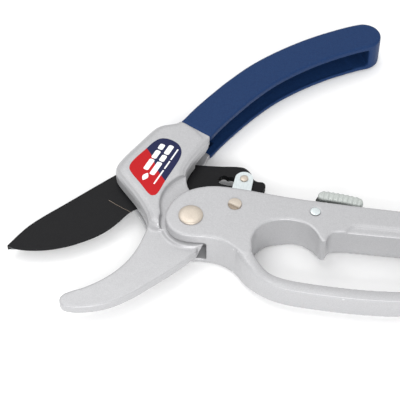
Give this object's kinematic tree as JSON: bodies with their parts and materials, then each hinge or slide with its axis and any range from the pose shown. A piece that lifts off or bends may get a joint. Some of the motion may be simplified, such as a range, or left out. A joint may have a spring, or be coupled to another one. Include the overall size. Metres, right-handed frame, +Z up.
{
  "type": "ratchet bypass pruner",
  "caption": "Hand pruner with a ratchet-driven bypass blade, hooked counter blade, finger guard and thumb catch.",
  "frame": {"origin": "axis of the main pivot, in the plane the tool rests on", "axes": "+X towards the handles' free ends, +Y towards the blade's spine side, +Z up through the tool's thickness, along every pivot axis"},
  "size_m": [0.2099, 0.1756, 0.0206],
  "materials": {
    "silver_casting": "satin silver paint on cast aluminium",
    "blue_vinyl": "dipped vinyl coat, slight grain",
    "label": "printed foil, red and navy",
    "nickel_rivet": "satin nickel plate",
    "zinc": "bright zinc plate",
    "catch_zinc": "grey-green cast zinc",
    "bronze": "sintered bronze",
    "spring_steel": "drawn spring wire",
    "black_blade": "matt black non-stick coat on steel"
  },
  "bodies": {
    "upper": {"upper_body": "silver_casting", "upper_grip": "blue_vinyl", "label": "label", "main_pivot_bolt": "nickel_rivet", "main_pivot_nut": "zinc", "pivot_bush": "bronze", "blade_pivot_screw": "zinc", "return_spring": "spring_steel"},
    "lower": {"lower_handle": "silver_casting", "link_pin": "nickel_rivet", "catch_pin": "zinc", "link_spring": "spring_steel", "catch_spring": "spring_steel"},
    "link": {"link_plate_top": "zinc", "link_plate_bottom": "zinc", "link_spacer": "zinc", "ratchet_pin": "nickel_rivet", "ratchet_roller": "spring_steel"},
    "blade": {"blade": "black_blade", "blade_bush": "bronze"},
    "catch": {"catch_lever": "catch_zinc"}
  },
  "joints": [
    {"name": "handle_hinge", "type": "hinge", "parent": "upper", "child": "lower", "pos_m": [0, 0, 0], "axis": [0, 0, 1], "range_deg": [0, 50], "stiffness_Nm_per_rad": 0.2, "springref_deg": -28.65},
    {"name": "blade_hinge", "type": "hinge", "parent": "upper", "child": "blade", "pos_m": [-0.009, 0.025, 0], "axis": [0, 0, 1], "range_deg": [0, 36]},
    {"name": "link_hinge", "type": "hinge", "parent": "lower", "child": "link", "pos_m": [0.02, 0.0065, 0], "axis": [0, 0, 1], "range_deg": [-36.2, 0]},
    {"name": "catch_hinge", "type": "hinge", "parent": "lower", "child": "catch", "pos_m": [0.0564, 0.0023, 0], "axis": [0, 0, 1], "range_deg": [0, 25]}
  ],
  "couplings": [
    {"joint": "blade_hinge", "follows": "handle_hinge", "ratio": 0.72},
    {"joint": "link_hinge", "follows": "handle_hinge", "ratio": -0.724}
  ]
}
